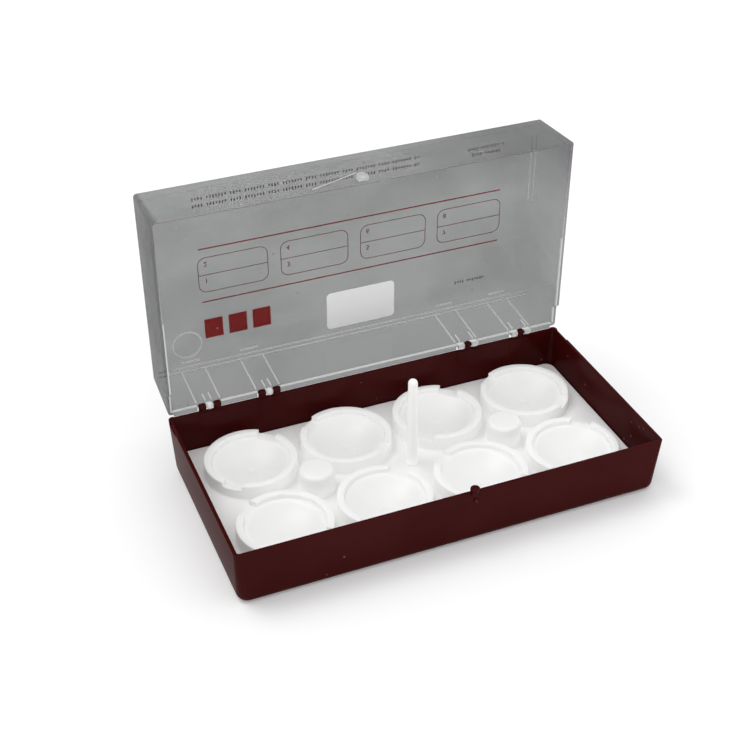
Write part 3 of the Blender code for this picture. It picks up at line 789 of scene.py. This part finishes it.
def notch_bars():
    """One bar across each cup cuts its two opposite lip notches."""
    bm = bmesh.new()
    for x, y, angle in cup_places():
        add_box(bm, (x - NOTCH_LENGTH / 2, y - NOTCH_WIDTH / 2, LEDGE_Z - 0.05 * MM),
                (x + NOTCH_LENGTH / 2, y + NOTCH_WIDTH / 2, LIP_Z + 1 * MM), Matrix.Rotation(angle, 4, "Z"))
    return new_object("tool", bm)


def build_tray():
    """White insert with eight cups, two pillars, ejector marks, a low stud and the post's socket."""
    steps = 72
    centres = [(x, y) for x, y, _angle in cup_places()]
    pillars = [(-CUP_PITCH_X, 0.0), (CUP_PITCH_X, 0.0)]
    half = (TRAY_HIGH.x, TRAY_HIGH.y)
    tray = loft("insert", half, cornered(tray_profile(), TRAY_CORNER), 8)
    middle = CUP_RADIUS - TRAY_SKIN / 2
    cut(tray, upright(centres, middle, middle, TRAY_TOP - 2 * TRAY_SKIN, TRAY_TOP + TRAY_SKIN, steps))
    join(tray, spread(turned("cup", cup_profile(), steps), centres))
    cut(tray, notch_bars())
    marks = [(x + EJECTOR_OFFSET[0], y + EJECTOR_OFFSET[1]) for x, y in centres]
    cut(tray, upright(marks, EJECTOR_RADIUS, EJECTOR_RADIUS, DISH_Z + 0.15 * MM, LEDGE_Z, 20))
    join(tray, spread(turned("pillar", pillar_profile(), steps), pillars))
    cut(tray, upright(pillars, PILLAR_FOOT_RADIUS - TRAY_SKIN, PILLAR_RADIUS - TRAY_SKIN,
                      TRAY_TOP - 2 * TRAY_SKIN, PILLAR_TOP - TRAY_SKIN, 32))
    join(tray, upright([STUD_CENTRE], 1.3 * MM, 1.0 * MM, TRAY_TOP - 0.5 * MM, TRAY_TOP + 0.35 * MM, 24))
    join(tray, upright([(0, 0)], SOCKET_RADIUS, SOCKET_RADIUS, TRAY_BOTTOM, TRAY_TOP - TRAY_SKIN / 2, 32))
    cut(tray, upright([(0, 0)], SOCKET_BORE, SOCKET_BORE, TRAY_BOTTOM - 1 * MM, TRAY_TOP + 1 * MM, 32))
    shade(tray)
    tray.data.materials.append(white_plastic())
    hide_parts("insert_tray")
    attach(tray, "base")


def build_post():
    """Round rod with a domed top and a collar on the deck."""
    collar = TRAY_TOP + GAP
    edge = 0.2 * MM
    top = POST_RADII[0]
    profile = [(top * x, POST_HIGH.z - top * (1 - z)) for x, z in arc((0, 0), 1.0, 90, 0, 8)]
    profile += [(POST_RADII[1], collar + POST_FOOT_HEIGHT + 0.4 * MM)]
    profile += arc((POST_FOOT_RADIUS - edge, collar + POST_FOOT_HEIGHT - edge), edge, 90, 0, 3)
    profile += [(POST_FOOT_RADIUS, collar), (PEG_RADIUS, collar)]
    profile += [(PEG_RADIUS, TRAY_BOTTOM), (0.0, TRAY_BOTTOM)]
    post = turned("post", profile, 48)
    shade(post)
    post.data.materials.append(post_plastic())
    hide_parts("lift_post")
    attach(post, "base")


# -------------------- lid

def lid_profile():
    """Outside of the lid from its top, down to the rim and up to the underside of the panel."""
    draft = LID_DRAFT[1]
    outer = fillet(draft + LID_TOP_RADIUS, LID_TOP - LID_TOP_RADIUS, LID_TOP_RADIUS, 90, 0, 6)
    rim = fillet(RIM_ROUND, LID_BOTTOM + RIM_ROUND, RIM_ROUND, 0, -90, 4)
    inner_round = LID_RIM_INNER_ROUND
    rim_inside = fillet(LID_WALL - inner_round, LID_BOTTOM + inner_round, inner_round, -90, -180, 4)
    inner_z = LID_TOP - LID_PANEL
    inset = LID_WALL + draft
    inner = fillet(inset + LID_INNER_RADIUS, inner_z - LID_INNER_RADIUS, LID_INNER_RADIUS, 0, 90, 4)
    return (cornered(outer, LID_CORNER_RADIUS, draft) + cornered(rim, LID_CORNER_RADIUS)
            + cornered(rim_inside, LID_INNER_CORNER, LID_WALL) + cornered(inner, LID_INNER_CORNER, inset))


def between_hinges(end):
    """Left and right ends of each stretch of the back wall's edge between the hinge windows."""
    clear = HINGE_SLOT_WIDTH / 2
    return zip([-end] + [x + clear for x in STATIONS], [x - clear for x in STATIONS] + [end])


def lid_bead():
    """Bead along the outside of the back wall's edge, left out at the hinge windows."""
    end = LENGTH / 2 - REBATE_DEPTH - CORNER_RADIUS - GAP
    bead = boxes([((low, DEPTH / 2 - 0.6 * MM, LID_RELIEF_Z),
                   (high, DEPTH / 2 + LID_BEAD_OUT, LID_RELIEF_Z + LID_BEAD_HEIGHT))
                  for low, high in between_hinges(end)])
    soften(bead, 0.15 * MM)
    return bead


def widen_ends(lid):
    """Give the end walls their own, smaller draft."""
    more = LID_DRAFT[1] - LID_DRAFT[0]
    for vert in lid.data.vertices:
        share = min(1.0, (vert.co.z - LID_BOTTOM) / (LID_TOP - LID_BOTTOM))
        vert.co.x += math.copysign(more * share, vert.co.x)


def lid_relief():
    """Clearance under the back wall and the back ends of the side walls, with a sloping start."""
    bm = bmesh.new()
    slope_run = LID_RELIEF_Z - LID_BOTTOM
    side_view = ((REBATE_FRONT_Y, LID_BOTTOM), (REBATE_FRONT_Y + slope_run, LID_RELIEF_Z),
                 (DEPTH / 2 + REACH, LID_RELIEF_Z), (DEPTH / 2 + REACH, LID_BOTTOM - REACH),
                 (REBATE_FRONT_Y, LID_BOTTOM - REACH))
    half = LENGTH / 2 + REACH
    add_hull(bm, [(x, y, z) for x in (-half, half) for y, z in side_view])
    return new_object("tool", bm)


def lid_tab():
    """Catch tab: a rounded plate on a pad."""
    front = -DEPTH / 2 - GAP
    z_low = BASE_HEIGHT - TAB_DROP
    place = Matrix.Translation((TAB_X, front - TAB_OUT / 2, z_low + TAB_HEIGHT / 2))
    size = Matrix.Diagonal((TAB_WIDTH / 2, TAB_OUT / 2, TAB_HEIGHT / 2, 1.0))
    plate = bmesh.new()
    bmesh.ops.create_uvsphere(plate, u_segments=32, v_segments=20, radius=1.0, matrix=place @ size)
    pad = boxes([((TAB_X - 2 * MM, front - 1 * MM, LID_BOTTOM + 0.4 * MM),
                  (TAB_X + 2 * MM, -DEPTH / 2 + 1 * MM, BASE_HEIGHT + 4.2 * MM))])
    return new_object("tool", plate), pad


def inner_wall_y(z):
    """Inner face of the lid's back wall at a height."""
    return DEPTH / 2 - LID_WALL - LID_DRAFT[1] * (z - LID_BOTTOM) / (LID_TOP - LID_BOTTOM)


def add_mouth_lines(bm):
    """Painted highlights: thin pale strips along the inner edge of the mouth at its back and back ends, and
    along the thumb bevel.
    """
    z = LID_RELIEF_Z
    wall = inner_wall_y(z)
    end = LID_LENGTH / 2 - LID_WALL
    for low, high in between_hinges(end):
        add_box(bm, (low, wall - 0.1 * MM, z - 0.05 * MM), (high, wall + 0.3 * MM, z + MOUTH_HIGHLIGHT))
    front = REBATE_FRONT_Y + z - LID_BOTTOM
    for side in (-1, 1):
        edges = sorted((side * (end - 0.1 * MM), side * (end + 0.4 * MM)))
        add_box(bm, (edges[0], front, z - 0.05 * MM), (edges[1], wall, z + MOUTH_HIGHLIGHT))
        add_box(bm, (edges[0], 0.0, LID_BOTTOM), (edges[1], REBATE_FRONT_Y, LID_BOTTOM + MOUTH_HIGHLIGHT))
    slope = LID_DRAFT[1] / (LID_TOP - LID_BOTTOM)
    points = []
    for x, rise in BEVEL_HIGHLIGHT_ENDS:
        for more in (0.0, BEVEL_HIGHLIGHT_WIDTH):
            face = -DEPTH / 2 + slope * (rise + more)
            points.append((x, face - 0.12 * MM, LID_BOTTOM + rise + more))
            points.append((x, face + 0.2 * MM, LID_BOTTOM + rise + more))
    add_hull(bm, points)


def add_tab_ring(bm):
    """Pale ring on the tab's outer face: painted highlight where its domed face catches the light."""
    steps = 28
    centre = Vector((TAB_X, -DEPTH / 2 - GAP - TAB_OUT * 0.62, BASE_HEIGHT - TAB_DROP + TAB_HEIGHT / 2))
    across = TAB_WIDTH * TAB_RING_SHARE
    tall = TAB_HEIGHT * TAB_RING_SHARE
    rings = []
    for scale, out in ((1.0, 0.2 * MM), (1.0, -0.2 * MM), (0.78, -0.2 * MM), (0.78, 0.2 * MM)):
        angles = [2 * math.pi * step / steps for step in range(steps)]
        rings.append([bm.verts.new(centre + Vector((across * scale * math.cos(angle), out,
                                                    tall * scale * math.sin(angle)))) for angle in angles])
    close_rings(bm, rings)


def build_ribs(material):
    """Fine ribs inside the lid: at each hinge, as a short ledge above it, along the back corner and as flow
    lines at the right end, with the painted highlight strips of the edges and the tab's painted highlight
    ring in the same piece; its pale finish is painted highlight."""
    bm = bmesh.new()
    panel_z = LID_TOP - LID_PANEL
    low_z = HINGE_SLOT_TOP + 0.4 * MM
    sunk = 0.05 * MM
    for x in STATIONS:
        for side in (-1, 1):
            middle = x + side * HINGE_PAD_WIDTH / 2
            points = []
            for z in (low_z, panel_z - sunk):
                wall = inner_wall_y(z)
                for edge in (middle - RIB_WIDTH / 2, middle + RIB_WIDTH / 2):
                    points.append((edge, wall - HINGE_PAD_PROUD, z))
                    points.append((edge, wall + sunk, z))
            add_hull(bm, points)
        ledge_y = inner_wall_y(panel_z) - LEDGE_REACH
        add_box(bm, (x - 4.8 * MM, ledge_y - RIB_WIDTH / 2, panel_z - HINGE_PAD_PROUD),
                (x + 3.2 * MM, ledge_y + RIB_WIDTH / 2, panel_z + sunk))
        reach = KNUCKLE_OFFSET if x in STATIONS_BASE_INSIDE else LUG_WIDTH / 2
        for side in (-1, 1):
            wall = inner_wall_y(low_z + HINGE_GUSSET.z)
            add_box(bm, (x + side * reach - HINGE_GUSSET.x / 2, wall - HINGE_GUSSET.y, low_z - 0.4 * MM),
                    (x + side * reach + HINGE_GUSSET.x / 2, wall + 0.4 * MM, low_z + HINGE_GUSSET.z))
    add_mouth_lines(bm)
    add_tab_ring(bm)
    end = LID_LENGTH / 2 - LID_WALL - LID_DRAFT[0] - 0.5 * MM
    for offset, proud in ((0.0, 0.45 * MM), (2.2 * MM, 0.15 * MM)):
        y_high = inner_wall_y(panel_z) - offset
        add_box(bm, (-end, y_high - RIB_WIDTH, panel_z - proud), (end, y_high + sunk, panel_z + sunk))
    for offset in (0.3 * MM, 2.4 * MM):
        add_box(bm, (end - offset - FLOW_WIDTH, FLOW_Y[0], panel_z - 0.1 * MM),
                (end - offset, FLOW_Y[1], panel_z + sunk))
    ribs = new_object("lid_ribs", bm)
    # Pale line finish: painted highlight on the ribs and strips.
    ribs.data.materials.append(material)
    open_up(ribs)


def build_ring(material):
    """Plain moulded ring on the panel's inner face, in the corner beside the hinge."""
    steps = 48
    z = LID_TOP - LID_PANEL
    bm = bmesh.new()
    rings = []
    for radius, height in ((RING_RADIUS, z + 0.05 * MM), (RING_RADIUS, z - 0.2 * MM),
                           (RING_RADIUS - RIB_WIDTH, z - 0.2 * MM), (RING_RADIUS - RIB_WIDTH, z + 0.05 * MM)):
        angles = [2 * math.pi * step / steps for step in range(steps)]
        rings.append([bm.verts.new((RING_CENTRE[0] + radius * math.cos(angle),
                                    RING_CENTRE[1] + radius * math.sin(angle), height)) for angle in angles])
    close_rings(bm, rings)
    ring = new_object("lid_ring", bm)
    # Pale line finish: painted highlight on the ring.
    ring.data.materials.append(material)
    open_up(ring)


def paint_rim(lid, clear, edge, boss, tab):
    """Give the inner edge round the lid's mouth, the hinge lugs and the catch tab their painted highlights.
    """
    for material in (clear, edge, boss, tab):
        lid.data.materials.append(material)
    inner_x = LID_LENGTH / 2 - LID_WALL + LID_RIM_INNER_ROUND + 0.02 * MM
    inner_y = DEPTH / 2 - LID_WALL + LID_RIM_INNER_ROUND + 0.02 * MM
    # Faces of the tab, the lid's hinge lugs and the mouth's inner edge take the painted highlight copies.
    for face in lid.data.polygons:
        centre = face.center
        from_hinge = math.hypot(centre.y - HINGE.y, centre.z - HINGE.z)
        near_station = min(abs(centre.x - x) for x in STATIONS) < HINGE_SLOT_WIDTH / 2 - 0.1 * MM
        on_tab = centre.y < -DEPTH / 2 - GAP / 2 and abs(centre.x - TAB_X) < TAB_WIDTH
        if on_tab:
            face.material_index = 3
        elif near_station and from_hinge < KNUCKLE_RADIUS + 0.1 * MM:
            face.material_index = 2
        elif (centre.z < LID_BOTTOM + LID_RIM_INNER_ROUND and -0.99 < face.normal.z < -0.1
              and abs(centre.x) < inner_x and abs(centre.y) < inner_y):
            face.material_index = 1


def open_up(piece):
    """Swing a piece drawn closed to where the lid stands at rest, and hang it on the lid."""
    piece.matrix_world = OPEN_LID @ piece.matrix_world
    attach(piece, "lid")


def build_lid():
    """See-through lid with its hinge windows, catch tab, notch, thumb bevel and hinge pads."""
    lid = loft("lid_shell", (LID_LENGTH / 2, DEPTH / 2), lid_profile())
    widen_ends(lid)
    cut(lid, lid_relief())
    slots = [((x - HINGE_SLOT_WIDTH / 2, HINGE.y - REACH, LID_BOTTOM),
              (x + HINGE_SLOT_WIDTH / 2, DEPTH / 2 + REACH, HINGE_SLOT_TOP)) for x in STATIONS]
    cut(lid, boxes(slots))
    cut(lid, boxes([((KNOB_X - LID_NOTCH_WIDTH / 2, -DEPTH / 2 - REACH, LID_BOTTOM - REACH),
                     (KNOB_X + LID_NOTCH_WIDTH / 2, -DEPTH / 2 + REACH, LID_NOTCH_TOP))]))
    cut(lid, thumb_wedge(LID_THUMB_X, LID_BOTTOM, LID_BOTTOM + THUMB_HEIGHT))
    join(lid, lid_bead())
    for piece in lid_tab():
        join(lid, piece)
    neck_end = HINGE_SLOT_TOP + 1 * MM
    add_middle_lugs(lid, STATIONS_BASE_OUTSIDE, neck_end)
    add_outer_knuckles(lid, STATIONS_BASE_INSIDE, neck_end)
    shade(lid)
    lid.data.materials.clear()
    tint = (0.288, 0.294, 0.293)
    clear = clear_plastic("clear_plastic", tint, 0.0, ((0.6, 0.6, 0.6), (0.6, 0.6, 0.6)))
    # Paler, milkier copies of the clear plastic are painted highlights: the mouth's inner edge, dark violet
    # at the catch side and bright at the hinge, the hinge lugs and the catch tab.
    edge = clear_plastic("clear_edge_highlight", tint, 0.8, ((0.24, 0.185, 0.26), (0.78, 0.77, 0.82)))
    boss = clear_plastic("clear_boss_highlight", (0.60, 0.61, 0.61), 0.45, ((0.62, 0.62, 0.63), (0.95, 0.95, 0.95)))
    # Pale copy for the ribs, the ring and the strips: painted highlight.
    line = clear_plastic("clear_line_highlight", (0.45, 0.46, 0.46), 0.8, ((0.78, 0.78, 0.78), (0.84, 0.85, 0.85)))
    tab = clear_plastic("clear_tab_highlight", (0.55, 0.56, 0.56), 0.30, ((0.75, 0.75, 0.75), (0.75, 0.75, 0.75)))
    paint_rim(lid, clear, edge, boss, tab)
    build_ribs(line)
    build_ring(line)
    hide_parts("lid")
    open_up(lid)


def build_label():
    """Blank paper sticker under the panel."""
    half = ((LABEL_HIGH.x - LABEL_LOW.x) / 2, (LABEL_HIGH.y - LABEL_LOW.y) / 2)
    edge = 0.05 * MM
    low = LABEL_LOW.z
    high = LABEL_HIGH.z
    profile = [(edge, low), (0.0, low + edge), (0.0, high - edge), (edge, high)]
    label = loft("sticker", half, cornered(profile, 2.0 * MM))
    centre = (LABEL_LOW + LABEL_HIGH) / 2
    label.data.transform(Matrix.Translation((centre.x, centre.y, 0.0)))
    shade(label)
    label.data.materials.append(label_paper())
    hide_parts("label")
    open_up(label)


# -------------------- print on the lid

def ink_bars(name, spans, material):
    """Flat printed bars as one piece."""
    z = PRINT_Z
    bm = bmesh.new()
    for (x_low, y_low), (x_high, y_high) in spans:
        add_box(bm, (x_low, y_low, z), (x_high, y_high, z + PRINT_HEIGHT))
    piece = new_object(name, bm)
    piece.data.materials.append(material)
    open_up(piece)


def ink_frame(name, low, high, material):
    """Printed rounded rectangle, drawn as a thin ring with a line across its middle."""
    half = ((high[0] - low[0]) / 2, (high[1] - low[1]) / 2)
    z = PRINT_Z
    bm = bmesh.new()
    rings = []
    for inset, height in ((0.0, z), (0.0, z + PRINT_HEIGHT), (BOX_LINE, z + PRINT_HEIGHT), (BOX_LINE, z)):
        points = outline(half[0] - inset, half[1] - inset, BOX_CORNER - inset, height, 8)
        rings.append([bm.verts.new(point) for point in points])
    close_rings(bm, rings)
    add_box(bm, (-half[0] + BOX_LINE, -BOX_LINE / 2, z),
            (half[0] - BOX_LINE, BOX_LINE / 2, z + PRINT_HEIGHT))
    centre = Matrix.Translation(((low[0] + high[0]) / 2, (low[1] + high[1]) / 2, 0.0))
    bmesh.ops.transform(bm, matrix=centre, verts=bm.verts[:])
    piece = new_object(name, bm)
    piece.data.materials.append(material)
    open_up(piece)


def ink_digit(number, x, y, material):
    """Plain printed cell number."""
    name = "digit_%d" % number
    curve = bpy.data.curves.new(name, "FONT")
    curve.body = str(number)
    curve.size = DIGIT_SIZE
    curve.extrude = PRINT_HEIGHT / 2
    curve.materials.append(material)
    piece = bpy.data.objects.new(name, curve)
    bpy.context.scene.collection.objects.link(piece)
    piece.location = (x, y, PRINT_Z + PRINT_HEIGHT / 2)
    bpy.context.view_layer.update()
    open_up(piece)


def caption_marks():
    """Rows of plain upright strokes in groups of uneven length."""
    spans = []
    for x_low, x_high, y in CAPTION_ROWS:
        x = x_low
        step = 0
        while x < x_high:
            height = CAPTION_HEIGHT * (1.0, 0.7, 0.85)[step % 3]
            spans.append(((x * MM, y * MM), (x * MM + CAPTION_STROKE, y * MM + height)))
            x += CAPTION_WORD_GAP if step % 11 in (3, 10) else CAPTION_PITCH
            step += 1
    return spans


def build_print():
    """Two red rules, four numbered two-part boxes, three plain red swatches and rows of strokes."""
    red = print_ink("red_ink", (0.70, 0.018, 0.015))
    bright = print_ink("bright_ink", (0.82, 0.010, 0.008))
    thin = print_ink("thin_ink", (0.42, 0.03, 0.03))
    faint = print_ink("faint_ink", (0.26, 0.12, 0.12))
    rules = [((RULE_X[0], y - RULE_WIDTH / 2), (RULE_X[1], y + RULE_WIDTH / 2)) for y in RULE_Y]
    ink_bars("print_rules", rules, red)
    swatches = [((x, SWATCH_Y[0]), (x + SWATCH_WIDTH, SWATCH_Y[1])) for x in SWATCH_X]
    ink_bars("print_swatch", swatches, bright)
    ink_bars("print_captions", caption_marks(), faint)
    for column in range(4):
        low = (BOX_LEFT + column * BOX_PITCH, BOX_FRONT_Y)
        high = (low[0] + BOX_SIZE[0], low[1] + BOX_SIZE[1])
        ink_frame("print_box_%d" % (column + 1), low, high, thin)
        for row, rise in enumerate(DIGIT_RISES):
            ink_digit(2 * column + row + 1, low[0] + DIGIT_INSET, low[1] + rise, thin)


# -------------------- stage, light and camera

FLOOR_SIZE = 6.0


def build_stage():
    """Large pale floor."""
    bm = bmesh.new()
    bmesh.ops.create_grid(bm, x_segments=1, y_segments=1, size=FLOOR_SIZE)
    floor = new_object("floor", bm)
    floor.data.materials.append(floor_material())


def softbox(name, location, size, power, target=(0.0, 0.0, 0.03)):
    """Square area lamp that faces the target."""
    lamp = bpy.data.lights.new(name, "AREA")
    lamp.size = size
    lamp.energy = power
    obj = bpy.data.objects.new(name, lamp)
    bpy.context.scene.collection.objects.link(obj)
    obj.location = location
    obj.rotation_mode = "QUATERNION"
    obj.rotation_quaternion = (Vector(target) - Vector(location)).to_track_quat("-Z", "Y")


# Location, size and power of each lamp
KEY_LAMP = ((-1.1, 0.9, 3.0), 1.5, 26)
FILL_LAMP = ((0.9, -0.7, 1.1), 0.9, 0.3)
WORLD_STRENGTH = 0.92


def build_light():
    """Even white surroundings with soft lamps overhead."""
    world = bpy.data.worlds.new("studio")
    world.use_nodes = True
    background = world.node_tree.nodes["Background"].inputs
    background["Color"].default_value = (1, 1, 1, 1)
    background["Strength"].default_value = WORLD_STRENGTH
    bpy.context.scene.world = world
    softbox("key", *KEY_LAMP)
    softbox("fill", *FILL_LAMP)
    bpy.context.scene.view_settings.view_transform = "Standard"


CAMERA_AZIMUTH = math.radians(-21.95)
CAMERA_ELEVATION = math.radians(34.78)
CAMERA_ROLL = math.radians(-0.456)
CAMERA_DISTANCE = 0.5749
CAMERA_ASIDE = -0.01539
CAMERA_UP = 0.04262
CAMERA_FIELD = math.radians(30.41)


def build_camera():
    """Camera on a sphere round the base's middle, shifted sideways and up in its own picture plane."""
    az, el, roll = CAMERA_AZIMUTH, CAMERA_ELEVATION, CAMERA_ROLL
    back = Vector((math.sin(az) * math.cos(el), -math.cos(az) * math.cos(el), math.sin(el)))
    level = Vector((math.cos(az), math.sin(az), 0.0))
    upward = back.cross(level)
    right = level * math.cos(roll) + upward * math.sin(roll)
    up = upward * math.cos(roll) - level * math.sin(roll)
    data = bpy.data.cameras.new("camera")
    data.sensor_width = 36.0
    data.angle = CAMERA_FIELD
    data.clip_start = 0.01
    camera = bpy.data.objects.new("camera", data)
    bpy.context.scene.collection.objects.link(camera)
    turn = Matrix((right, up, back)).transposed()
    camera.matrix_world = Matrix.Translation(
        right * CAMERA_ASIDE + up * CAMERA_UP + back * CAMERA_DISTANCE) @ turn.to_4x4()
    bpy.context.scene.camera = camera


build_base()
build_tray()
build_post()
build_lid()
build_label()
build_print()
build_stage()
build_light()
build_camera()

bpy.context.view_layer.update()
